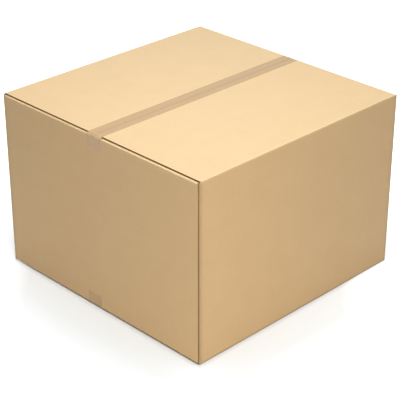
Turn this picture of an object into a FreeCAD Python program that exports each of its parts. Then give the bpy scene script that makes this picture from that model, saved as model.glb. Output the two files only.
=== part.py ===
import FreeCAD, Part
import math
import os

# A closed shipping carton: one folded blank of single-wall corrugated board, taped shut above and below.
# Millimetres, +Z up, X along the seams. The origin is under the middle of the box, at the bottom tape's underside.
# Side walls (at -Y and +Y) carry the major flaps, end walls (at -X and +X) carry the minor flaps beneath them.

# Clear space inside the folded carton
inside_length = 700.0
inside_width = 700.0
inside_height = 470.0

# Corrugated board and its folds
board = 4.0                  # thickness of the board
liner = 0.5                  # thickness of each of its two flat faces
fold_radius = 1.0            # inner radius of every fold
flute_opening = 3.0          # depth of the open flute along a cut that runs with the flutes

# Cuts in the blank
slot_run = 0.5               # straight board between a corner's bend and the edge of its slot
slot_depth = 2.0             # how far a slot runs past the minor flaps' outer face
flap_gap = 0.4               # air between a major flap and the minor flaps that it covers
seam_gap = 1.5               # between the two major flaps, where they meet in the middle
minor_seam_gap = 2.0         # the same, between the two minor flaps

# Glued joint at the corner between the -X end wall and the -Y side wall
lap_width = 35.0             # from the side wall's outer face to the lap's free edge
lap_clearance = 6.0          # between the lap's ends and the minor flaps
lap_taper = 9.0              # how much shorter each end of the lap is at its free edge
joint_gap = 3.0              # how far the end wall's cut edge stays behind the side wall's outer face

# Packing tape
tape_film = 0.1              # thickness of the film with its adhesive
tape_width = 50.0
top_tape_tail = 38.0         # how far the top tape comes down each end wall, from the top flaps' face
bottom_tape_tail = 37.0      # how far the bottom tape goes up each end wall, from the bottom flaps' face
top_tape_offset = 2.0        # of the strip's middle from the seam, towards +Y
bottom_tape_offset = 21.0

# Worked out from the sizes above
bend_radius = fold_radius + board
half_length = inside_length / 2 + board
half_width = inside_width / 2 + board
flap_end_x = inside_length / 2 - fold_radius - slot_run
flap_end_y = inside_width / 2 - fold_radius - slot_run
major_low = tape_film
minor_low = major_low + board + flap_gap
minor_high = minor_low + board + inside_height + board
major_high = minor_high + flap_gap + board
corner_low = minor_low + slot_depth
corner_high = minor_high - slot_depth
minor_setback = major_high - minor_high


def point(h, z):
    """A point of a section: h is the distance from the middle of the box, z the height."""
    return FreeCAD.Vector(h, 0, z)


def line(start, end):
    return Part.LineSegment(start, end).toShape()


def arc(centre, radius, start, end):
    """An arc in a section, from one angle to another in degrees, 0 outwards and 90 upwards."""
    angles = [math.radians(start + share * (end - start)) for share in (0, 0.5, 1)]
    ends = [centre + point(radius * math.cos(a), radius * math.sin(a)) for a in angles]
    return Part.Arc(*ends).toShape()


def section_face(edges):
    return Part.Face(Part.Wire(Part.__sortEdges__(edges)))


def carry(face, start, end):
    """Carries a section in the XZ plane along Y, from start to end."""
    placed = face.translated(FreeCAD.Vector(0, start, 0))
    return placed.extrude(FreeCAD.Vector(0, end - start, 0))


def turned(shape, quarter_turns):
    """Turns a shape about the box's upright axis, a quarter turn at a time."""
    copy = shape.copy()
    copy.rotate(FreeCAD.Vector(0, 0, 0), FreeCAD.Vector(0, 0, 1), 90 * quarter_turns)
    return copy


def bent_section(reach, outer, low, high, skin):
    """Section of one wall with its two flaps folded in: free edge, flap, fold, wall, fold, flap, free edge.

    reach is the flaps' free edge and outer the wall's outer face, both from the middle. skin is taken off both faces,
    0 for the board itself and the liner's thickness for the hollow between its liners.
    """
    centre = outer - bend_radius
    out_r, in_r = bend_radius - skin, fold_radius + skin
    top, foot = point(centre, high - bend_radius), point(centre, low + bend_radius)
    edges = [
        line(point(reach, high - skin), point(centre, high - skin)),
        arc(top, out_r, 90, 0),
        line(point(outer - skin, top.z), point(outer - skin, foot.z)),
        arc(foot, out_r, 0, -90),
        line(point(centre, low + skin), point(reach, low + skin)),
        line(point(reach, low + skin), point(reach, low + board - skin)),
        line(point(reach, low + board - skin), point(centre, low + board - skin)),
        arc(foot, in_r, -90, 0),
        line(point(outer - board + skin, foot.z), point(outer - board + skin, top.z)),
        arc(top, in_r, 0, 90),
        line(point(centre, high - board + skin), point(reach, high - board + skin)),
        line(point(reach, high - board + skin), point(reach, high - skin)),
    ]
    return section_face(edges)


def folded_wall(reach, outer, low, high, start, end):
    """One wall with its flaps, in +X, from start to end along Y, with an open flute at both cut ends."""
    wall = carry(bent_section(reach, outer, low, high, 0), start, end)
    hollow = bent_section(reach, outer, low, high, liner)
    flutes = carry(hollow, start, start + flute_opening).fuse(carry(hollow, end - flute_opening, end))
    covered = Part.makeBox(2 * outer, 2 * outer, corner_high - corner_low,
                           FreeCAD.Vector(-outer, -outer, corner_low))
    return wall.cut(flutes.cut(covered))


def plan_point(x, y):
    return FreeCAD.Vector(x, y, 0)


def plan_arc(centre, radius, start, end):
    """An arc in plan, from one angle to another in degrees, 0 towards +X and 90 towards +Y."""
    angles = [math.radians(start + share * (end - start)) for share in (0, 0.5, 1)]
    ends = [centre + plan_point(radius * math.cos(a), radius * math.sin(a)) for a in angles]
    return Part.Arc(*ends).toShape()


def upright(edges, low, high):
    """Carries a closed outline in plan upwards, from low to high."""
    face = section_face(edges).translated(FreeCAD.Vector(0, 0, low))
    return face.extrude(FreeCAD.Vector(0, 0, high - low))


def bent_corner():
    """The bend between two walls at the (+X, +Y) corner, with slot_run of straight board on each side."""
    centre = plan_point(half_length - bend_radius, half_width - bend_radius)
    edges = [
        line(plan_point(half_length, flap_end_y), plan_point(half_length, centre.y)),
        plan_arc(centre, bend_radius, 0, 90),
        line(plan_point(centre.x, half_width), plan_point(flap_end_x, half_width)),
        line(plan_point(flap_end_x, half_width), plan_point(flap_end_x, half_width - board)),
        line(plan_point(flap_end_x, half_width - board), plan_point(centre.x, half_width - board)),
        plan_arc(centre, fold_radius, 90, 0),
        line(plan_point(half_length - board, centre.y), plan_point(half_length - board, flap_end_y)),
        line(plan_point(half_length - board, flap_end_y), plan_point(half_length, flap_end_y)),
    ]
    return upright(edges, corner_low, corner_high)


# At the glued corner the side wall bends inside the end wall, so its bend starts one board further in
joint_bend_x = half_length - board - bend_radius
joint_bend_y = half_width - bend_radius


def joint_bend():
    """The side wall's bend at the (-X, -Y) corner, which carries the glue lap."""
    centre = plan_point(-joint_bend_x, -joint_bend_y)
    edges = [
        plan_arc(centre, bend_radius, 180, 270),
        line(plan_point(centre.x, centre.y - bend_radius), plan_point(centre.x, centre.y - fold_radius)),
        plan_arc(centre, fold_radius, 270, 180),
        line(plan_point(centre.x - fold_radius, centre.y), plan_point(centre.x - bend_radius, centre.y)),
    ]
    return upright(edges, corner_low, corner_high)


def glue_lap():
    """The lap beyond that bend, tapered at both ends and glued to the end wall's inner face."""
    free_edge = lap_width - half_width
    low, high = minor_low + board + lap_clearance, minor_high - board - lap_clearance
    corners = [
        FreeCAD.Vector(board - half_length, -joint_bend_y, low),
        FreeCAD.Vector(board - half_length, free_edge, low + lap_taper),
        FreeCAD.Vector(board - half_length, free_edge, high - lap_taper),
        FreeCAD.Vector(board - half_length, -joint_bend_y, high),
    ]
    lap = Part.Face(Part.makePolygon(corners + corners[:1])).extrude(FreeCAD.Vector(board, 0, 0))
    flute = Part.makeBox(board - 2 * liner, flute_opening, inside_height,
                         FreeCAD.Vector(board + liner - half_length, free_edge - flute_opening, minor_low + board))
    return lap.cut(flute)


def joint_edge():
    """The end wall's cut edge at that corner, from the slots' line to joint_gap behind the side wall."""
    edge = joint_gap - half_width
    strip = Part.makeBox(board, -flap_end_y - edge, corner_high - corner_low,
                         FreeCAD.Vector(-half_length, edge, corner_low))
    return strip


def joint_flute():
    """The open flute in that cut edge, between the board's liners."""
    edge = joint_gap - half_width
    return Part.makeBox(board - 2 * liner, flute_opening, corner_high - corner_low,
                        FreeCAD.Vector(liner - half_length, edge, corner_low))


def make_carton():
    """The whole folded blank: four walls with their flaps, three plain corners and the glued one."""
    major_reach, minor_reach = seam_gap / 2, minor_seam_gap / 2
    end_wall = folded_wall(minor_reach, half_length, minor_low, minor_high, -flap_end_y, flap_end_y)
    side_wall = folded_wall(major_reach, half_width, major_low, major_high, -flap_end_x, flap_end_x)
    joint_side = folded_wall(major_reach, half_width, major_low, major_high, -joint_bend_x, flap_end_x)
    corner = bent_corner()
    mirror_x, mirror_y = FreeCAD.Vector(1, 0, 0), FreeCAD.Vector(0, 1, 0)
    origin = FreeCAD.Vector(0, 0, 0)
    pieces = [
        turned(end_wall, 2), turned(side_wall, 1), turned(joint_side, 3),
        corner, corner.mirror(origin, mirror_x), corner.mirror(origin, mirror_y),
        joint_bend(), glue_lap(), joint_edge(),
    ]
    return end_wall.multiFuse(pieces).cut(joint_flute()).removeSplitter()


def tape_half(tail):
    """Section of half a strip, lying on the flaps at z 0, from the middle over the edge and down the +X end wall.

    From the major flap's end it runs straight down to the minor flap's fold, touches it, follows it and ends on the
    wall, tail below the flaps' face.
    """
    centre = point(half_length - bend_radius, -minor_setback - bend_radius)
    brink = point(flap_end_x, 0)
    reach = brink - centre
    touch = math.degrees(math.atan2(reach.z, reach.x) - math.acos(bend_radius / reach.Length))
    out = point(math.cos(math.radians(touch)), math.sin(math.radians(touch)))
    meets, leaves = centre + out * bend_radius, centre + out * (bend_radius + tape_film)
    slant = brink - meets
    outer_brink = leaves + slant * ((tape_film - leaves.z) / slant.z)
    edges = [
        line(point(0, 0), brink),
        line(brink, meets),
        arc(centre, bend_radius, touch, 0),
        line(point(half_length, centre.z), point(half_length, -tail)),
        line(point(half_length, -tail), point(half_length + tape_film, -tail)),
        line(point(half_length + tape_film, -tail), point(half_length + tape_film, centre.z)),
        arc(centre, bend_radius + tape_film, 0, touch),
        line(leaves, outer_brink),
        line(outer_brink, point(0, tape_film)),
        line(point(0, tape_film), point(0, 0)),
    ]
    return section_face(edges)


def tape_strip(tail, offset):
    """A whole strip, its middle at offset along Y, lying on the flaps at z 0."""
    half = carry(tape_half(tail), offset - tape_width / 2, offset + tape_width / 2)
    other = half.mirror(FreeCAD.Vector(0, 0, 0), FreeCAD.Vector(1, 0, 0))
    return half.fuse(other).removeSplitter()


def make_top_tape():
    return tape_strip(top_tape_tail, top_tape_offset).translated(FreeCAD.Vector(0, 0, major_high))


def make_bottom_tape():
    strip = tape_strip(bottom_tape_tail, bottom_tape_offset)
    upside_down = strip.mirror(FreeCAD.Vector(0, 0, 0), FreeCAD.Vector(0, 0, 1))
    return upside_down.translated(FreeCAD.Vector(0, 0, major_low))


nodes = {
    "carton": make_carton(),
    "top_tape": make_top_tape(),
    "bottom_tape": make_bottom_tape(),
}

os.makedirs("parts", exist_ok=True)
for name, shape in nodes.items():
    solid = shape.Solids[0] if len(shape.Solids) == 1 else shape
    solid.exportStep("parts/" + name + ".step")
    box = solid.BoundBox
    print(name, len(shape.Solids), "solid", shape.isValid(), "volume %.1f cm3" % (solid.Volume / 1000),
          "x %.2f %.2f y %.2f %.2f z %.2f %.2f" % (box.XMin, box.XMax, box.YMin, box.YMax, box.ZMin, box.ZMax))
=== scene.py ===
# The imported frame: the carton and its two tapes, already in place, and the box that they fill.
# Everything below is in metres in that frame: X along the taped seams, Z up from the floor.
import bpy
import numpy as np
from math import cos, radians, sin
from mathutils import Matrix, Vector


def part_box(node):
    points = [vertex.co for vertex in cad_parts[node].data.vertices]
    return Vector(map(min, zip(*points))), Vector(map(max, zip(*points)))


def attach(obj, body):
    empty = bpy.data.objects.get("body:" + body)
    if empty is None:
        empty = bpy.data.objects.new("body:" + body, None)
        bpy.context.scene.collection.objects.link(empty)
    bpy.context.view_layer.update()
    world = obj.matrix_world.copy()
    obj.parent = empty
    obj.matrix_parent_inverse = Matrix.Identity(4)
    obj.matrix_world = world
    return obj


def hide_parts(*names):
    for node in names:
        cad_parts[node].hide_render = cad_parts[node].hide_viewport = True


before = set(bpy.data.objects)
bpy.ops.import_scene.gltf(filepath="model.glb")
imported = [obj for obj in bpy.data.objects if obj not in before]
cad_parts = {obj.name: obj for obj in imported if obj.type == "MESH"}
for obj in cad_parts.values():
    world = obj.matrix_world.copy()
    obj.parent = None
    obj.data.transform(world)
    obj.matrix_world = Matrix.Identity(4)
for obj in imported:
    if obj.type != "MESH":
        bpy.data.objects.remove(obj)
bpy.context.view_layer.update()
MM = 0.001


# The camera stands over the glued corner and looks down on it, so that the end wall shows on the left and a
# side wall on the right. Its sight line passes a little above the middle of the box's footprint.
view_azimuth = radians(-44.68)
view_elevation = radians(27.63)
view_distance = 3.601
sight_rise = 0.1614
lens_mm = 119.64
sensor_mm = 36.0

back = Vector((sin(view_azimuth) * cos(view_elevation), -cos(view_azimuth) * cos(view_elevation),
               sin(view_elevation)))
right = Vector((cos(view_azimuth), sin(view_azimuth), 0.0))
lens = bpy.data.cameras.new("camera")
lens.lens, lens.sensor_width = lens_mm, sensor_mm
camera = bpy.data.objects.new("camera", lens)
camera.location = back * view_distance + back.cross(right) * sight_rise
camera.rotation_euler = (radians(90) - view_elevation, 0.0, view_azimuth)
bpy.context.scene.collection.objects.link(camera)
bpy.context.scene.camera = camera


# The carton: one die-cut blank of single-wall board, creased, folded round and glued along a lap inside the
# corner that faces the camera. Its four flaps above and four below are folded in, the end walls' ones first.
board = 4.0 * MM                 # thickness of the board
face_paper = 0.45 * MM           # thickness of each liner
flute_paper = 0.3 * MM           # thickness of the fluted medium between them
flute_pitch = 7.8 * MM
fold_radius = 2.0 * MM           # outside every flap's fold, where the crease has crushed the flutes
corner_radius = 2.5 * MM         # outside the four upright folds
crushed = 1.6 * MM               # the board's thickness left in a fold
recovery = 0.7                   # how steeply it grows back beside the fold
slot_reach = 5.5 * MM            # from a wall's face to the slots' edges
flap_step = 4.4 * MM             # the end walls' flaps lie this far beneath the side walls' flaps
seam_gap = 1.5 * MM
minor_seam_gap = 2.0 * MM
lap_width = 35.0 * MM
lap_taper = 15.0 * MM
joint_gap = 3.0 * MM             # the end wall's cut edge stays this far behind the side wall's face
joint_waver = 0.35 * MM          # how far that edge wanders
joint_wave = 350.0 * MM          # and over what length
wall_bow = 0.9 * MM              # how far the middle of the fullest wall stands out
far_end_bow, near_end_bow = 0.8, 0.45    # the end walls' shares of it
flap_sag = 0.35 * MM             # how far the top dips in the middle
crease_depth = 0.08 * MM         # the shallow valley beside each fold, where the crease was pressed
crease_offset = 3.0 * MM
crease_width = 2.0 * MM
crease_hold = 0.3                # the smaller, the nearer to a wall's ends the upright valleys stay deep
crease_fade = 6.0 * MM           # the flaps' valleys end within this distance of a slot
rub_reach = 2.5 * MM             # how far a flap's fold is rubbed pale
upright_shade_reach, upright_fold_shade = 4.5 * MM, 0.5      # painted shade: how far and how strongly an upright fold is darkened
foot_shade_reach, foot_fold_shade = 1.2 * MM, 0.8          # painted shade: the same for the folds that the box stands on, as their contact shadow
kraft_light = (0.552, 0.360, 0.178, 1.0)
kraft_dark = (0.499, 0.315, 0.149, 1.0)
kraft_fleck = (0.250, 0.140, 0.062, 1.0)
kraft_rubbed = (0.68, 0.47, 0.26, 1.0)
medium_brown = (0.420, 0.255, 0.098, 1.0)
medium_dark = (0.300, 0.172, 0.062, 1.0)

carton_low, carton_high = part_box("carton")
half_length, half_width = carton_high.x, carton_high.y
major_low, major_high = carton_low.z, carton_high.z
minor_low, minor_high = major_low + flap_step, major_high - flap_step
slot_foot, slot_head = minor_low + fold_radius, minor_high - fold_radius

# How many grid rows a fold, a flap and a wall take, and how many columns a lap, a bend and a panel
fold_rows, flap_rows, wall_rows = 9, 26, 44
lap_columns, bend_columns, panel_columns = 9, 9, 64


def eased(length, count):
    """Stations from 0 to length, closest at both ends: half the length times one minus the cosine of 0 to 180
    degrees."""
    return length / 2 * (1 - np.cos(np.linspace(0, np.pi, count)))


def eased_away(length, count):
    """Stations from 0 to length, closest at the start: the length times one minus the cosine of 0 to 90
    degrees."""
    return length * (1 - np.cos(np.linspace(0, np.pi / 2, count)))


def waver(along, longest, seed):
    """A gentle wandering between about -1 and 1: the sum of four sines of along, each 0.6 times as long and
    0.75 times as high as the last, with phases drawn from the seed."""
    phases = np.random.default_rng(seed).uniform(0, 2 * np.pi, 4)
    waves = [np.sin(2 * np.pi * along / (longest * 0.6 ** k) + phases[k]) * 0.75 ** k for k in range(4)]
    return sum(waves) / 1.8


def crease_valley(distance):
    """How far the face lies back beside a fold: a bell curve of the distance from the fold's edge."""
    return -crease_depth * np.exp(-((distance - crease_offset) / crease_width) ** 2)


def wall_profile(reach, outer, low, high):
    """One wall with its two flaps, from free edge to free edge, as four arrays over the rows: distance in
    from the wall's face, height, lean of the surface in radians, and length along the face.

    The upper half climbs from the slots' end, turns a quarter circle of the fold radius and runs in along
    the flap, and the lower half is its mirror image.
    """
    fold_start = high - fold_radius
    straight = [slot_head] if fold_start > slot_head + 1e-6 else []
    lean = np.linspace(0, np.pi / 2, fold_rows + 1 - len(straight))
    flap = eased_away(outer - fold_radius - reach, flap_rows)[1:]
    inward = np.concatenate([np.zeros(len(straight)), fold_radius * (1 - np.cos(lean)), fold_radius + flap])
    height = np.concatenate([straight, fold_start + fold_radius * np.sin(lean), np.full(flap.size, high)])
    leans = np.concatenate([np.zeros(len(straight)), lean, np.full(flap.size, np.pi / 2)])
    wall = slot_foot + eased(slot_head - slot_foot, wall_rows)[1:-1]
    inward = np.concatenate([inward[::-1], np.zeros(wall.size), inward])
    height = np.concatenate([low + high - height[::-1], wall, height])
    leans = np.concatenate([-leans[::-1], np.zeros(wall.size), leans])
    along = np.concatenate([[0.0], np.cumsum(np.hypot(np.diff(inward), np.diff(height)))])
    return inward, height, leans, along - along[flap_rows + fold_rows - 1] + slot_foot


def straight_run(start, heading, stations):
    """Plan of a flat stretch: points at the given distances from start, and their outward normals, which
    are the heading turned a quarter turn to the right."""
    heading = np.array(heading, float)
    points = np.array(start, float) + stations[:, None] * heading
    return points, np.tile([heading[1], -heading[0]], (stations.size, 1))


def round_bend(centre, first_angle):
    """Plan of a corner's bend: a quarter circle of the corner radius, anticlockwise from the first angle in
    degrees."""
    angle = np.radians(first_angle + np.linspace(0, 90, bend_columns))
    normals = np.stack([np.cos(angle), np.sin(angle)], 1)
    return np.array(centre) + corner_radius * normals, normals


# The plan, anticlockwise from the lap's free edge: each run's points, its kind and its share of the bow
bend_x, bend_y = half_length - corner_radius, half_width - corner_radius
joint_x = bend_x - board
slot_x, slot_y = half_length - slot_reach, half_width - slot_reach
lap_length = lap_width - corner_radius
lap_stations = np.linspace(0, lap_length, lap_columns)[:-1]
beside_slot = np.array([0.3, 0.65]) * (slot_reach - corner_radius)
runs = [
    (straight_run((board - half_length, lap_length - bend_y), (0, -1), lap_stations), "lap", 0.0),
    (tuple(part[:-1] for part in round_bend((-joint_x, -bend_y), 180)), "bend", 0.0),
    (straight_run((-joint_x, -half_width), (1, 0), eased(joint_x + slot_x, panel_columns)), "side", 0.55),
    (straight_run((slot_x, -half_width), (1, 0), beside_slot), "slot", 0.0),
    (round_bend((bend_x, -bend_y), 270), "bend", 0.0),
    (straight_run((half_length, -bend_y), (0, 1), beside_slot), "slot", 0.0),
    (straight_run((half_length, -slot_y), (0, 1), eased(2 * slot_y, panel_columns)), "end", far_end_bow),
    (straight_run((half_length, slot_y), (0, 1), beside_slot), "slot", 0.0),
    (round_bend((bend_x, bend_y), 0), "bend", 0.0),
    (straight_run((bend_x, half_width), (-1, 0), beside_slot), "slot", 0.0),
    (straight_run((slot_x, half_width), (-1, 0), eased(2 * slot_x, panel_columns)), "side", 1.0),
    (straight_run((-slot_x, half_width), (-1, 0), beside_slot), "slot", 0.0),
    (round_bend((-bend_x, bend_y), 90), "bend", 0.0),
    (straight_run((-half_length, bend_y), (0, -1), beside_slot), "slot", 0.0),
    (straight_run((-half_length, slot_y), (0, -1), eased(2 * slot_y, panel_columns)), "end", near_end_bow),
    (straight_run((-half_length, joint_gap - half_width), (0, -1), np.zeros(1)), "cut", 0.0),
]
plan = np.concatenate([run[0] for run, kind, bow in runs])
outward = np.concatenate([run[1] for run, kind, bow in runs])
run_of = np.concatenate([np.full(len(run[0]), k) for k, (run, kind, bow) in enumerate(runs)])
kind_of = np.array([kind for run, kind, bow in runs])[run_of]
bow_of = np.array([bow for run, kind, bow in runs])[run_of] * wall_bow
is_end, is_bend = kind_of == "end", kind_of == "bend"
is_corner = is_bend | (kind_of == "slot")
is_panel = is_end | (kind_of == "side")
across = np.concatenate([[0.0], np.cumsum(np.hypot(*np.diff(plan, axis=0).T))])

# Every row of every column: where the outer face lies, how it leans, and where on the flat blank it is
side_profile = wall_profile(seam_gap / 2, half_width, major_low, major_high)
end_profile = wall_profile(minor_seam_gap / 2, half_length, minor_low, minor_high)
inward, height, lean, along = [np.where(is_end[:, None], e, s) for e, s in zip(end_profile, side_profile)]
columns, rows = inward.shape
row = np.arange(rows)
wall_start, wall_end = flap_rows + fold_rows - 1, rows - flap_rows - fold_rows
in_wall = (row >= wall_start) & (row <= wall_end)
in_top = row > wall_end + fold_rows

# The lap tapers towards its free edge, so it clears the flaps
lap_share = np.clip(1 - across / lap_length, 0, 1)[:, None]
middle = (slot_foot + slot_head) / 2
height = middle + (height - middle) * (1 - lap_share * lap_taper / (slot_head - middle))

# How far every point is from the folds and from its run's ends
from_bend = np.abs(across[:, None] - across[is_bend][None, :]).min(1)
fold_top, fold_foot = along[:, wall_end + fold_rows][:, None], along[:, wall_start - fold_rows][:, None]
beyond_fold = np.maximum(along - fold_top, fold_foot - along)
before_fold = np.minimum(fold_top - along, along - fold_foot) - fold_radius * np.pi / 2
from_fold = np.maximum(np.maximum(beyond_fold, before_fold), 0)
first = np.array([np.argmax(run_of == k) for k in run_of])
last = np.array([columns - 1 - np.argmax(run_of[::-1] == k) for k in run_of])
from_first, to_last = across - across[first], across[last] - across
share = from_first / np.maximum(from_first + to_last, 1e-9)
level = np.clip((height - slot_foot) / (slot_head - slot_foot), 0, 1)

# How far the face stands out from its plain form: bowed walls, the creases' valleys and a dip in the top
bowed = bow_of[:, None] * np.sin(np.pi * share)[:, None] * np.sin(np.pi * level)
upright_valley = (crease_valley(np.where(is_panel, from_bend, 1.0)[:, None])
                  * np.sin(np.pi * level) ** crease_hold)
cut_fade = np.clip(np.minimum(from_first, to_last) / crease_fade, 0, 1)[:, None]
flap_valley = cut_fade * (crease_valley(beyond_fold) + crease_valley(before_fold))
face = np.empty((columns, rows, 3))
face[..., :2] = plan[:, None, :] - inward[..., None] * outward[:, None, :]
face[..., 2] = height
dip = np.cos(np.pi / 2 * face[..., 0] / half_length) * (1 - np.abs(face[..., 1]) / half_width)
stand_out = (np.where(in_wall, bowed + upright_valley, 0.0) + np.where(is_panel[:, None], flap_valley, 0.0)
             - np.where(in_top & is_panel[:, None], flap_sag * dip, 0.0))
normal = np.empty_like(face)
normal[..., :2] = np.cos(lean)[..., None] * outward[:, None, :]
normal[..., 2] = np.sin(lean)
face += stand_out[..., None] * normal
heading = np.stack([-outward[:, 1], outward[:, 0], np.zeros(columns)], 1)
face[-1] += (joint_waver * waver(height[-1], joint_wave, 3))[:, None] * heading[-1]

# The board is crushed in its folds and grows back to its full thickness beside them
thickness = np.minimum(board, crushed + recovery * np.minimum(from_fold, from_bend[:, None]))
inner_face = face - thickness[..., None] * normal

# Which cells of the blank are board: all of the walls and lap, the flaps between their slots, and one more
# row at the upright folds, where the slots end at the side walls' flap folds
same_panel = (run_of[1:] == run_of[:-1]) & is_panel[1:]
beside_corner = is_corner | (kind_of == "side")
corner_cell = beside_corner[1:] & beside_corner[:-1] & (is_corner[1:] | is_corner[:-1])
wall_cell = (row[:-1] >= wall_start) & (row[:-1] < wall_end)
cap_cell = (row[:-1] == wall_end) | (row[:-1] == wall_start - 1)
is_board = same_panel[:, None] | wall_cell | (corner_cell[:, None] & cap_cell)


def cut_edges(cells):
    """The sheet's border. An edge of the grid is on it when just one of the two cells beside it is board.

    Gives the edges' first and last grid points, with board on their left as seen from outside, then the lower
    points of those that run with the flutes, with +1 where the board lies ahead of them and -1 where it lies
    behind, and the first points of those that run across the flutes.
    """
    padded = np.pad(cells, 1).astype(int)
    ahead = padded[1:, 1:-1] - padded[:-1, 1:-1]
    above = padded[1:-1, 1:] - padded[1:-1, :-1]
    i, j = np.nonzero(ahead)
    gain = ahead[i, j]
    a, b = np.nonzero(above)
    rise = above[a, b]
    starts = np.concatenate([np.stack([i, np.where(gain > 0, j + 1, j)], 1),
                             np.stack([np.where(rise > 0, a, a + 1), b], 1)])
    ends = np.concatenate([np.stack([i, np.where(gain > 0, j, j + 1)], 1),
                           np.stack([np.where(rise > 0, a + 1, a), b], 1)])
    return starts, ends, (i, j, gain), (a, b)


starts, ends, (flute_i, flute_j, flute_side), (plain_i, plain_j) = cut_edges(is_board)

# Where the cut runs with the flutes, the board is open: the medium's cut edge shows between the liners,
# with a deep hollow on one side of it and a shallow one on the other. A cut across them stays plain.
is_open = np.zeros((columns, rows), bool)
into_sheet = np.zeros((columns, rows))
for step in (0, 1):
    is_open[flute_i, flute_j + step] = True
    into_sheet[flute_i, flute_j + step] = flute_side
is_open[plain_i, plain_j] = False
is_open[plain_i + 1, plain_j] = False

padded = np.pad(is_board, 1)
used = padded[1:, 1:] | padded[:-1, 1:] | padded[1:, :-1] | padded[:-1, :-1]
border = np.zeros((columns, rows), bool)
border[starts[:, 0], starts[:, 1]] = True
bi, bj = np.nonzero(border)      # column and row of every point on the border
flute_wander = 0.22              # how far the flutes' phase wanders along a cut, in half turns
flute_wave = 500.0 * MM          # and over what length
column_shift = 3.1               # sets the wandering of one cut apart from the next one's
phase = np.pi * (0.5 + flute_wander * waver(along[bi, bj] + column_shift * bi, flute_wave, 5))
shallow = flute_pitch * (np.pi - phase) / (2 * np.pi)
deep = shallow + flute_pitch / 2
swing = (board - 2 * face_paper - flute_paper) / 2


def medium_level(depth):
    """Distance of the medium's middle from the outer face, at a depth behind the cut: a cosine of the flutes'
    pitch, between the two liners."""
    return board / 2 - swing * np.cos(2 * np.pi * depth / flute_pitch + phase)


# Through the open cut, from the outer face: outer liner, deep hollow, medium, shallow hollow and inner liner
flush = np.zeros(bi.size)
depths = [flush, flush, deep, (3 * deep + shallow) / 4, (deep + shallow) / 2, (deep + 3 * shallow) / 4,
          shallow, shallow / 2, flush, flush, shallow / 2, shallow, flush, flush]
levels = [flush, flush + face_paper, flush + face_paper * 1.05]
levels += [medium_level(depth) - flute_paper / 2 for depth in depths[3:9]]
levels += [medium_level(depth) + flute_paper / 2 for depth in depths[9:12]]
levels += [flush + board - face_paper, flush + board]
edge_points = len(depths)
open_cut = is_open[bi, bj][:, None]
depth = np.where(open_cut, np.stack(depths, 1), 0.0)
through = np.where(open_cut, np.stack(levels, 1), np.linspace(0, board, edge_points))
through = through * (thickness / board)[bi, bj][:, None]
sideways = heading[bi] * into_sheet[bi, bj][:, None]
edge = (face[bi, bj][:, None] - through[..., None] * normal[bi, bj][:, None]
        + depth[..., None] * sideways[:, None])

# Numbers of the points: the outer face, the inner face, and the points through the board along its border
outer_number = np.full((columns, rows), -1)
outer_number[used] = np.arange(used.sum())
inner_number = np.where(used, outer_number + used.sum(), -1)
between = 2 * used.sum() + np.arange(bi.size * (edge_points - 2)).reshape(bi.size, -1)
edge_number = np.empty((bi.size, edge_points), int)
edge_number[:, 0], edge_number[:, -1] = outer_number[bi, bj], inner_number[bi, bj]
edge_number[:, 1:-1] = between
ci, cj = np.nonzero(is_board)    # column and row of every cell of board


def corners_of_cells(number):
    """The four corners of every cell of board, anticlockwise as seen from outside."""
    return np.stack([number[ci, cj], number[ci + 1, cj], number[ci + 1, cj + 1], number[ci, cj + 1]], 1)


border_place = np.full((columns, rows), -1)
border_place[bi, bj] = np.arange(bi.size)
before = edge_number[border_place[starts[:, 0], starts[:, 1]]]
after = edge_number[border_place[ends[:, 0], ends[:, 1]]]
edge_faces = np.stack([before[:, :-1], before[:, 1:], after[:, 1:], after[:, :-1]], 2).reshape(-1, 4)
points = np.concatenate([face[used], inner_face[used], edge[:, 1:-1].reshape(-1, 3)])
faces = np.concatenate([corners_of_cells(outer_number), corners_of_cells(inner_number)[:, ::-1], edge_faces])
slots = np.concatenate([np.zeros(2 * ci.size, int), np.ones(len(edge_faces), int)])
blank = np.stack([np.broadcast_to(across[:, None], (columns, rows)), along], 2)
edge_blank = np.stack([across[bi][:, None] + depth, along[bi, bj][:, None] + 0 * depth], 2)
blank_points = np.concatenate([blank[used], blank[used], edge_blank[:, 1:-1].reshape(-1, 2)])
rubbed = np.exp(-from_fold / rub_reach)
# painted shade: the upright folds are darkened, and so are the side walls' folds at the foot, as a contact
# shadow
at_bend = (row >= wall_start - 1) & (row <= wall_end + 1)
at_foot = (kind_of == "side")[:, None] & (row < rows // 2)
painted_upright_shade = np.where(at_bend, upright_fold_shade * np.exp(-from_bend[:, None] / upright_shade_reach) + 0 * along, 0.0)
painted_foot_shade = np.where(at_foot, foot_fold_shade * np.exp(-from_fold / foot_shade_reach), 0.0)
marks = {name: np.concatenate([values[used], values[used], np.zeros(between.size)])
         for name, values in (("crease", rubbed), ("painted_fold_shade", np.maximum(painted_upright_shade, painted_foot_shade)))}


def sheet_object(name, points, faces, slots, flat, marks):
    """A mesh object at the origin, smooth but for its cut edges, with its flat pattern as a UV map in
    metres and its marks as point attributes."""
    mesh = bpy.data.meshes.new(name)
    mesh.from_pydata(points.tolist(), [], faces.tolist())
    mesh.polygons.foreach_set("material_index", slots.astype(np.int32))
    mesh.polygons.foreach_set("use_smooth", np.ones(len(faces), bool))
    corner_point = np.empty(len(mesh.loops), np.int32)
    mesh.loops.foreach_get("vertex_index", corner_point)
    mesh.uv_layers.new(name="flat").uv.foreach_set("vector", flat[corner_point].astype(np.float32).ravel())
    for mark, values in marks.items():
        mesh.attributes.new(mark, "FLOAT", "POINT").data.foreach_set("value", values.astype(np.float32))
    mesh.set_sharp_from_angle(angle=radians(40))
    mesh.validate()
    piece = bpy.data.objects.new(name, mesh)
    bpy.context.scene.collection.objects.link(piece)
    return piece


carton = sheet_object("folded_carton", points, faces, slots, blank_points, marks)


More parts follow.
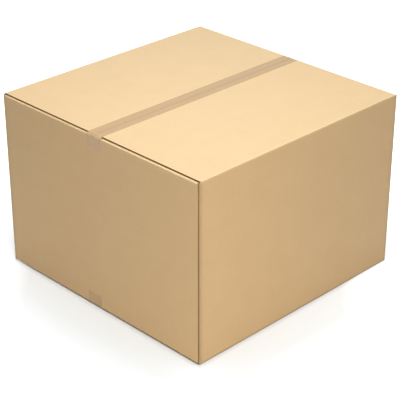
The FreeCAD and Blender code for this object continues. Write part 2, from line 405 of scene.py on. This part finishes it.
def wired(tree, kind, values=(), **inputs):
    """Adds a node, sets its inputs by name or number and links those that are given as sockets."""
    node = tree.nodes.new(kind)
    for key, value in dict(values).items():
        setattr(node, key, value)
    for key, value in inputs.items():
        socket = node.inputs[int(key[1:])] if key[1:].isdigit() else node.inputs[key.replace("_", " ")]
        if isinstance(value, bpy.types.NodeSocket):
            tree.links.new(value, socket)
        else:
            socket.default_value = value
    return node


def maths(tree, operation, *values):
    """The result of a Math node on up to three numbers or sockets."""
    inputs = {f"_{k}": value for k, value in enumerate(values)}
    return wired(tree, "ShaderNodeMath", {"operation": operation}, **inputs).outputs[0]


def mixed_colour(tree, factor, first, second):
    """The mix of two colours or sockets: the first at 0, the second at 1."""
    return wired(tree, "ShaderNodeMix", {"data_type": "RGBA"}, _0=factor, _6=first, _7=second).outputs[2]


def mapped(tree, value, low, high, to_low, to_high):
    """A value carried from low..high to to_low..to_high, and held at the ends."""
    return wired(tree, "ShaderNodeMapRange", Value=value, From_Min=low, From_Max=high, To_Min=to_low,
                 To_Max=to_high).outputs[0]


def new_group(name, inputs, outputs):
    """An empty shader node group with named sockets, and its input and output nodes."""
    group = bpy.data.node_groups.new(name, "ShaderNodeTree")
    for label, kind, value in inputs:
        socket = group.interface.new_socket(label, in_out="INPUT", socket_type=kind)
        if value is not None:
            socket.default_value = value
    for label, kind in outputs:
        group.interface.new_socket(label, in_out="OUTPUT", socket_type=kind)
    return group, group.nodes.new("NodeGroupInput"), group.nodes.new("NodeGroupOutput")


def make_fibre_group():
    """Paper fibres: two colours mixed by cloudy formation and fine fibre noise, with sparse dark flecks.
    Height is the fibres' relief from 0 to 1."""
    fibre_share, cloud_share = 0.5, 0.42
    group, given, out = new_group(
        "paper_fibres",
        [("Vector", "NodeSocketVector", None), ("Light", "NodeSocketColor", kraft_light),
         ("Dark", "NodeSocketColor", kraft_dark), ("Fleck", "NodeSocketColor", kraft_fleck),
         ("Fleck Amount", "NodeSocketFloat", 0.35)],
        [("Color", "NodeSocketColor"), ("Height", "NodeSocketFloat")])
    place = given.outputs["Vector"]
    cloud = wired(group, "ShaderNodeTexNoise", Vector=place, Scale=14.0, Detail=3.0, Roughness=0.6)
    stretched = wired(group, "ShaderNodeMapping", Vector=place, Scale=(1.0, 0.22, 1.0)).outputs["Vector"]
    fibre = wired(group, "ShaderNodeTexNoise", Vector=stretched, Scale=1300.0, Detail=2.0, Roughness=0.55,
                  Distortion=1.6)
    grain = wired(group, "ShaderNodeTexNoise", Vector=place, Scale=420.0, Detail=4.0, Roughness=0.7)
    relief = maths(group, "MULTIPLY_ADD", fibre.outputs["Fac"], fibre_share, grain.outputs["Fac"])
    cloudy = maths(group, "MULTIPLY_ADD", cloud.outputs["Fac"], cloud_share, relief)
    tone = mapped(group, cloudy, 0.66, 1.26, 0.0, 1.0)
    paper = mixed_colour(group, tone, given.outputs["Dark"], given.outputs["Light"])
    speck = wired(group, "ShaderNodeTexNoise", Vector=stretched, Scale=760.0, Detail=1.0, Distortion=2.5)
    picked = mapped(group, speck.outputs["Fac"], 0.66, 0.74, 0.0, 1.0)
    amount = maths(group, "MULTIPLY", picked, given.outputs["Fleck Amount"])
    group.links.new(mixed_colour(group, amount, paper, given.outputs["Fleck"]), out.inputs["Color"])
    group.links.new(relief, out.inputs["Height"])
    return group


def make_washboard_group():
    """The faint ribs of the flutes beneath a glued liner: a sine of the distance across them, about a half,
    its swing drifting between 0.25 and 0.5 over the sheet."""
    group, given, out = new_group(
        "flute_ribs", [("Vector", "NodeSocketVector", None), ("Pitch", "NodeSocketFloat", flute_pitch)],
        [("Height", "NodeSocketFloat")])
    place = given.outputs["Vector"]
    split = wired(group, "ShaderNodeSeparateXYZ", Vector=place)
    drift = wired(group, "ShaderNodeTexNoise", Vector=place, Scale=9.0, Detail=2.0)
    turns = maths(group, "DIVIDE", split.outputs["X"], given.outputs["Pitch"])
    wave = maths(group, "SINE", maths(group, "MULTIPLY", turns, 2 * np.pi))
    swing = mapped(group, drift.outputs["Fac"], 0.3, 0.7, 0.25, 0.5)
    group.links.new(maths(group, "MULTIPLY_ADD", wave, swing, 0.5), out.inputs["Height"])
    return group


fibre_group = make_fibre_group()
washboard_group = make_washboard_group()


def new_material(name):
    """A material with only its Principled shader, its node tree and that shader."""
    material = bpy.data.materials.new(name)
    material.use_nodes = True
    return material, material.node_tree, material.node_tree.nodes["Principled BSDF"]


def make_liner_material():
    """Brown kraft liner: matt, fibrous, faintly ribbed by the flutes with painted shade along the ribs,
    rubbed a little paler at the flaps' folds, and darkened at the upright ones and at the foot by painted
    shade."""
    rubbing, painted_shade_tone, painted_rib_shade = 0.22, 0.5, 0.015
    material, tree, shader = new_material("kraft_liner")
    flat = wired(tree, "ShaderNodeUVMap", {"uv_map": "flat"}).outputs["UV"]
    paper = wired(tree, "ShaderNodeGroup", {"node_tree": fibre_group}, Vector=flat)
    ribs = wired(tree, "ShaderNodeGroup", {"node_tree": washboard_group}, Vector=flat).outputs["Height"]
    crease = wired(tree, "ShaderNodeAttribute", {"attribute_name": "crease"}).outputs["Fac"]
    # painted shade: this mark darkens the upright folds and the folds at the foot
    painted_fold_shade = wired(tree, "ShaderNodeAttribute", {"attribute_name": "painted_fold_shade"}).outputs["Fac"]
    # painted shade: the colour is made lighter on the ribs' crests and darker between them
    shade = mapped(tree, ribs, 0.0, 1.0, 1 - painted_rib_shade, 1 + painted_rib_shade)
    tone = maths(tree, "MULTIPLY", shade, mapped(tree, painted_fold_shade, 0.0, 1.0, 1.0, painted_shade_tone))
    toned = wired(tree, "ShaderNodeVectorMath", {"operation": "SCALE"}, _0=paper.outputs["Color"], Scale=tone)
    worn = mixed_colour(tree, maths(tree, "MULTIPLY", crease, rubbing), toned.outputs[0], kraft_rubbed)
    fine = wired(tree, "ShaderNodeBump", Height=paper.outputs["Height"], Strength=0.35, Distance=0.06 * MM)
    broad = wired(tree, "ShaderNodeBump", Height=ribs, Strength=0.5, Distance=0.05 * MM,
                  Normal=fine.outputs[0])
    tree.links.new(worn, shader.inputs["Base Color"])
    tree.links.new(broad.outputs[0], shader.inputs["Normal"])
    shader.inputs["Roughness"].default_value = 0.5
    shader.inputs["IOR"].default_value = 1.45
    shader.inputs["Specular IOR Level"].default_value = 0.2
    shader.inputs["Sheen Weight"].default_value = 0.1
    shader.inputs["Sheen Roughness"].default_value = 0.33
    return material


def make_cut_edge_material():
    """The board's cut edges: darker medium and liner edges with torn fibres."""
    material, tree, shader = new_material("cut_edge")
    place = wired(tree, "ShaderNodeTexCoord").outputs["Object"]
    paper = wired(tree, "ShaderNodeGroup", {"node_tree": fibre_group}, Vector=place, Light=medium_brown,
                  Dark=medium_dark, Fleck_Amount=0.6)
    rough = wired(tree, "ShaderNodeBump", Height=paper.outputs["Height"], Strength=0.6, Distance=0.15 * MM)
    tree.links.new(paper.outputs["Color"], shader.inputs["Base Color"])
    tree.links.new(rough.outputs[0], shader.inputs["Normal"])
    shader.inputs["Roughness"].default_value = 0.85
    return material


carton.data.materials.append(make_liner_material())
carton.data.materials.append(make_cut_edge_material())
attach(carton, "root")
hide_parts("carton")


# The tapes: two strips of buff film with a clear adhesive, pressed down over the top and the bottom seam.
# Each bridges the step at the flaps' ends, turns over the fold and ends on the end wall, cut in teeth.
film = 0.08 * MM
glue_line = 0.015 * MM           # between the film and the board
top_tail, bottom_tail = 38.0 * MM, 37.0 * MM
tooth_pitch, tooth_depth = 2.0 * MM, 0.9 * MM
tooth_rows = 4                   # grid rows over which the teeth die out
brink_radius = 1.2 * MM          # of the film's turn over the flaps' ends
ripple, ripple_wave = 0.12 * MM, 20.0 * MM       # of the film where it bridges the step
seam_dip, dip_width = 0.1 * MM, 2.5 * MM         # how the film sinks into the open seam
seam_shade_line, line_width = 0.6, 1.6 * MM            # painted shade: the dark line of the open seam beneath the film
seam_shade_haze, haze_width = 0.17, 5.5 * MM           # and the softer painted shade beside it
bridge_painted_light = 0.32               # painted light: how much of the board's colour the film takes on where it bridges the step, lightening the shade of its turn
top_pale, bottom_pale = 0.38, 0.42               # and where it is pressed to the walls
buff_light = (0.392, 0.226, 0.090, 1.0)
buff_dark = (0.338, 0.190, 0.073, 1.0)
# the colour of the seam's painted shade and of the tape's darker edges
seam_shade_and_rim_brown = (0.260, 0.150, 0.060, 1.0)


def arc_points(centre, radius, first_angle, last_angle, count):
    """Points of an arc in the XZ plane and its outward normals, angles in radians from +X."""
    angle = np.linspace(first_angle, last_angle, count)
    normals = np.stack([np.cos(angle), np.sin(angle)], 1)
    return np.array(centre) + radius * normals, normals


def strip_path(tail):
    """Half of a strip's path in the XZ plane, lying on the flaps at z 0, and its outward normals, from the
    tail's end up the +X wall to the middle: wall, fold, straight bridge, small turn over the brink, and the
    flaps' face.

    The bridge touches both circles. Its normal's angle is that of the line between their centres, less the
    arc cosine of the radii's difference over the centres' distance.
    """
    wall_steps, fold_steps, bridge_steps, brink_steps, level_steps = 13, 8, 4, 6, 29
    centre = np.array([half_length - fold_radius, -flap_step - fold_radius])
    turn_centre = np.array([slot_x - brink_radius, -brink_radius])
    to_turn = turn_centre - centre
    lean = np.arctan2(to_turn[1], to_turn[0]) - np.arccos((fold_radius - brink_radius) / np.hypot(*to_turn))
    wall_heights = np.linspace(-tail, centre[1], wall_steps + 1)[:-1]
    wall = np.stack([np.full(wall_steps, half_length), wall_heights], 1)
    fold, fold_normals = arc_points(centre, fold_radius, 0, lean, fold_steps)
    brink, brink_normals = arc_points(turn_centre, brink_radius, lean, np.pi / 2, brink_steps)
    share = np.linspace(0, 1, bridge_steps + 2)[1:-1, None]
    bridge = fold[-1] * (1 - share) + brink[0] * share
    run = turn_centre[0] - eased_away(turn_centre[0], level_steps + 1)[1:]
    path = np.concatenate([wall, fold, bridge, brink, np.stack([run, np.zeros(level_steps)], 1)])
    normals = np.concatenate([np.tile([1.0, 0.0], (wall_steps, 1)), fold_normals,
                              np.tile(fold_normals[-1], (bridge_steps, 1)), brink_normals,
                              np.tile([0.0, 1.0], (level_steps, 1))])
    return path, normals


def make_tape(name, node, tail, upwards, wall_pale, seed):
    """A closed film along the whole path: a grid of path stations by stations across, once for the face and
    once for the glued side, joined round the border. Between them lies the film's thickness.

    The teeth are a triangle wave across the strip, added to the tail's length. The film follows the walls'
    bow and the top's dip, sinks into the seam by a bell curve and ripples slightly where it bridges the
    step. One mark, painted shade of the open seam beneath, is two bell curves across the strip; the other
    says where it takes on the board's colour, as painted light where it bridges the step.
    """
    low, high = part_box(node)
    width, offset = high.y - low.y, (low.y + high.y) / 2
    half_path, half_normals = strip_path(tail)
    path = np.concatenate([half_path, half_path[:-1][::-1] * [-1, 1]])
    facing = np.concatenate([half_normals, half_normals[:-1][::-1] * [-1, 1]])
    stations = np.linspace(-width / 2, width / 2, int(round(width / MM)) + 1)
    spine = np.concatenate([[0.0], np.cumsum(np.hypot(*np.diff(path, axis=0).T))])
    n, m = len(path), stations.size
    y = offset + stations[None, :] + 0 * spine[:, None]
    x, z, nx, nz = [np.repeat(values[:, None], m, 1) for values in (*path.T, *facing.T)]
    tooth = tooth_depth * np.abs(((stations / tooth_pitch) % 1.0) * 2 - 1)
    at_tail = np.clip(1 - np.arange(n) / tooth_rows, 0, 1)
    z += (at_tail + at_tail[::-1])[:, None] * tooth[None, :]
    on_wall, on_flaps = np.abs(nx) > 0.999, nz > 0.999
    bridging = (nz > 0.1) & (nz < 0.95) & (np.abs(x) < half_length - 1 * MM)
    wall_share = np.clip((major_high - slot_foot + z) / (slot_head - slot_foot), 0, 1)
    bow = wall_bow * np.where(x > 0, far_end_bow, near_end_bow) * np.sin(np.pi * (0.5 + 0.5 * y / slot_y))
    dip = flap_sag * np.cos(np.pi / 2 * x / half_length) * (1 - np.abs(y) / half_width) if upwards else 0.0
    sunk = seam_dip * np.exp(-(y / dip_width) ** 2)
    lift = (np.where(on_wall, bow * np.sin(np.pi * wall_share), 0.0) - np.where(on_flaps, dip + sunk, 0.0)
            + bridging * ripple * (1 + waver(y, ripple_wave, seed)))
    grids = []
    for above in (glue_line + film, glue_line):
        out = lift + above
        z_level = z + out * nz
        z_frame = major_high + z_level if upwards else major_low - z_level
        grids.append(np.stack([x + out * nx, y, z_frame], 2).reshape(-1, 3))
    number = np.arange(n * m).reshape(n, m)
    top = np.stack([number[:-1, :-1], number[:-1, 1:], number[1:, 1:], number[1:, :-1]], 2).reshape(-1, 4)
    rim = np.concatenate([number[:-1, 0], number[-1, :-1], number[1:, -1][::-1], number[0, 1:][::-1]])
    following = np.roll(rim, -1)
    side = np.stack([rim, following, following + n * m, rim + n * m], 1)
    faces = np.concatenate([top, top[:, ::-1] + n * m, side])
    if not upwards:
        faces = faces[:, ::-1]
    flat = np.stack([np.repeat(spine[:, None], m, 1), np.repeat(stations[None, :], n, 0)], 2).reshape(-1, 2)
    # painted shade of the open seam under the film: a dark line and a softer band
    shade = seam_shade_line * np.exp(-(y / line_width) ** 2) + seam_shade_haze * np.exp(-(y / haze_width) ** 2)
    shade_over_seam = np.where(on_flaps, shade, 0.0).ravel()
    # painted light: the film is made paler where it bridges the step, as well as where it is pressed to the
    # walls
    paler_and_bridge_light = np.where(on_wall, wall_pale, np.where(on_flaps, 0.0, bridge_painted_light)).ravel()
    marks = {"seam_shade": np.tile(shade_over_seam, 2), "paler_and_bridge_light": np.tile(paler_and_bridge_light, 2)}
    return sheet_object(name, np.concatenate(grids), faces, np.zeros(len(faces), int),
                        np.tile(flat, (2, 1)), marks)


def make_tape_material():
    """Buff packing film: smooth, with long faint streaks, cloudy patches where the adhesive has wetted the
    board unevenly, painted shade over the open seam, darker along its edges, and painted light where it
    bridges the step."""
    rim_start, rim_end, rim_dark = 19.5 * MM, 25.0 * MM, 0.16
    palest, rim_on_palest = 0.45, 0.25
    material, tree, shader = new_material("buff_tape")
    flat = wired(tree, "ShaderNodeUVMap", {"uv_map": "flat"}).outputs["UV"]
    stretched = wired(tree, "ShaderNodeMapping", Vector=flat, Scale=(1.2, 40.0, 1.0)).outputs["Vector"]
    streak = wired(tree, "ShaderNodeTexNoise", Vector=stretched, Scale=9.0, Detail=3.0)
    patch = wired(tree, "ShaderNodeTexNoise", Vector=flat, Scale=130.0, Detail=4.0, Roughness=0.65)
    both = maths(tree, "ADD", streak.outputs["Fac"], patch.outputs["Fac"])
    buff = mixed_colour(tree, mapped(tree, both, 0.7, 1.3, 0.0, 1.0), buff_dark, buff_light)
    pale_and_bridge_light = wired(tree, "ShaderNodeAttribute", {"attribute_name": "paler_and_bridge_light"}).outputs["Fac"]
    seam_shade = wired(tree, "ShaderNodeAttribute", {"attribute_name": "seam_shade"}).outputs["Fac"]
    aside = maths(tree, "ABSOLUTE", wired(tree, "ShaderNodeSeparateXYZ", Vector=flat).outputs["Y"])
    rim = mapped(tree, aside, rim_start, rim_end, 0.0, rim_dark)
    rim_shown = maths(tree, "MULTIPLY", rim, mapped(tree, pale_and_bridge_light, 0.0, palest, 1.0, rim_on_palest))
    # painted light where the film bridges the step: it takes on the board's colour there, as on the walls
    pressed_and_bridge_lit = mixed_colour(tree, pale_and_bridge_light, buff, kraft_light)
    # painted shade over the seam, and the darker edges
    shown = mixed_colour(tree, maths(tree, "MAXIMUM", rim_shown, seam_shade), pressed_and_bridge_lit, seam_shade_and_rim_brown)
    bump = wired(tree, "ShaderNodeBump", Height=both, Strength=0.3, Distance=0.01 * MM)
    tree.links.new(shown, shader.inputs["Base Color"])
    tree.links.new(bump.outputs[0], shader.inputs["Normal"])
    shader.inputs["Roughness"].default_value = 0.18
    shader.inputs["IOR"].default_value = 1.47
    return material


tape_material = make_tape_material()
for name, node, tail, upwards, wall_pale, seed in (
        ("seam_tape_top", "top_tape", top_tail, True, top_pale, 11),
        ("seam_tape_bottom", "bottom_tape", bottom_tail, False, bottom_pale, 12)):
    tape = make_tape(name, node, tail, upwards, wall_pale, seed)
    tape.data.materials.append(tape_material)
    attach(tape, "root")
    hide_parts(node)


# The stage: a white paper floor that the box stands on, in a plain white world. Five soft lamps light it:
# three above, one low before the near corner and one low behind the box.
floor_drop = 0.2 * MM            # keeps the floor just clear of the tape
floor_size = 14.0
floor_bounce = (0.93, 0.905, 0.83, 1.0)          # what the floor throws up onto the box
floor_seen = (0.703, 0.676, 0.627, 1.0)          # what the camera sees of it beside the box
ambient = 0.18
cool_white = (0.835, 0.915, 1.0)
warm_white = (1.0, 0.985, 0.945)
daylight = (0.74, 0.87, 1.0)
sky_blue = (0.67, 0.81, 1.0)


def sees_white(tree):
    """A socket that is 1 for what the camera sees, straight, in a gloss or through a glass, and else 0."""
    path = wired(tree, "ShaderNodeLightPath")
    mirrored = maths(tree, "MAXIMUM", path.outputs["Is Glossy Ray"], path.outputs["Is Transmission Ray"])
    return maths(tree, "MAXIMUM", path.outputs["Is Camera Ray"], mirrored)


def make_floor_material():
    """White paper floor: it takes the box's shadow and throws light up its walls. What the camera sees of
    it is toned down beside the box, and lifted to white by painted light, a glow that only the camera sees,
    far from it and out to both sides, where the lamps fade.

    Each lift rises from none to its full strength between two distances in metres: far from the middle, out
    to the sides by its square, beyond the box's own width, and close to the foot, where it falls off again.
    """
    far_from, far_to, far_lift = 0.45, 2.2, 0.9
    side_from, side_to, side_lift = 0.14, 0.92, 0.30
    beyond_from, beyond_to, beyond_lift = 0.575, 0.68, 0.22
    foot_from, foot_peak, foot_to, foot_lift = 4.0 * MM, 14.0 * MM, 90.0 * MM, 0.1
    off_middle = 0.064
    material, tree, shader = new_material("white_floor")
    seen = sees_white(tree)
    place = wired(tree, "ShaderNodeTexCoord").outputs["Object"]
    distance = wired(tree, "ShaderNodeVectorMath", {"operation": "LENGTH"}, _0=place).outputs["Value"]
    split = wired(tree, "ShaderNodeSeparateXYZ", Vector=place).outputs
    to_side = maths(tree, "ADD", maths(tree, "SUBTRACT", split["X"], split["Y"]), off_middle)
    apart = maths(tree, "ABSOLUTE", to_side)
    far = mapped(tree, distance, far_from, far_to, 0.0, far_lift)
    squared = maths(tree, "POWER", mapped(tree, apart, side_from, side_to, 0.0, 1.0), 2.0)
    beyond = mapped(tree, apart, beyond_from, beyond_to, 0.0, beyond_lift)
    outer = maths(tree, "ADD", maths(tree, "MULTIPLY_ADD", squared, side_lift, far), beyond)
    folded = wired(tree, "ShaderNodeVectorMath", {"operation": "ABSOLUTE"}, _0=place).outputs[0]
    past_wall = wired(tree, "ShaderNodeVectorMath", {"operation": "SUBTRACT"}, _0=folded,
                      _1=(half_length, half_width, 0.0)).outputs[0]
    outside = wired(tree, "ShaderNodeVectorMath", {"operation": "MAXIMUM"}, _0=past_wall,
                    _1=(0.0, 0.0, 0.0)).outputs[0]
    from_foot = wired(tree, "ShaderNodeVectorMath", {"operation": "LENGTH"}, _0=outside).outputs["Value"]
    # painted light: a glow beside the foot that lightens the box's contact shadow
    beside_foot = maths(tree, "MINIMUM", mapped(tree, from_foot, foot_from, foot_peak, 0.0, foot_lift),
                        mapped(tree, from_foot, foot_peak, foot_to, foot_lift, 0.0))
    # painted light: the lifts are an emission glow that only the camera sees
    lift = maths(tree, "MULTIPLY", seen, maths(tree, "ADD", outer, beside_foot))
    tree.links.new(mixed_colour(tree, seen, floor_bounce, floor_seen), shader.inputs["Base Color"])
    tree.links.new(lift, shader.inputs["Emission Strength"])
    shader.inputs["Emission Color"].default_value = (1.0, 1.0, 1.0, 1.0)
    shader.inputs["Roughness"].default_value = 0.9
    shader.inputs["Specular IOR Level"].default_value = 0.1
    return material


far_edge = floor_size / 2
floor_mesh = bpy.data.meshes.new("floor")
floor_corners = [(x * far_edge, y * far_edge, -floor_drop) for x, y in ((-1, -1), (1, -1), (1, 1), (-1, 1))]
floor_mesh.from_pydata(floor_corners, [], [(0, 1, 2, 3)])
floor_mesh.materials.append(make_floor_material())
floor = bpy.data.objects.new("floor", floor_mesh)
bpy.context.scene.collection.objects.link(floor)

world = bpy.data.worlds.new("studio")
bpy.context.scene.world = world
world.use_nodes = True
sky = world.node_tree.nodes["Background"]
sky.inputs["Color"].default_value = (1.0, 1.0, 1.0, 1.0)
sky_strength = mapped(world.node_tree, sees_white(world.node_tree), 0.0, 1.0, ambient, 1.0)
world.node_tree.links.new(sky_strength, sky.inputs["Strength"])

# Each lamp is a square one: its place, the height on the Z axis that it is turned to, size, watts and colour
for name, place, aim_height, size, power, colour in (
        ("overhead_lamp", (-0.56, -0.60, 2.29), 0.25, 1.2, 52.5, cool_white),
        ("middle_lamp", (0.0, 0.0, 2.6), 0.25, 1.4, 38.0, sky_blue),
        ("back_lamp", (1.36, 1.36, 2.55), 0.25, 0.9, 18.0, daylight),
        ("front_lamp", (-1.16, -1.60, 0.36), 0.1, 0.7, 12.1, warm_white),
        ("rear_lamp", (1.6, 1.6, 0.3), 0.22, 0.5, 16.0, cool_white)):
    lamp = bpy.data.lights.new(name, "AREA")
    lamp.shape, lamp.size, lamp.energy, lamp.color = "SQUARE", size, power, colour
    holder = bpy.data.objects.new(name, lamp)
    holder.location = place
    sight = Vector((0.0, 0.0, aim_height)) - Vector(place)
    holder.rotation_euler = sight.to_track_quat("-Z", "Y").to_euler()
    holder.visible_camera = False
    bpy.context.scene.collection.objects.link(holder)

bpy.context.scene.view_settings.view_transform = "Standard"
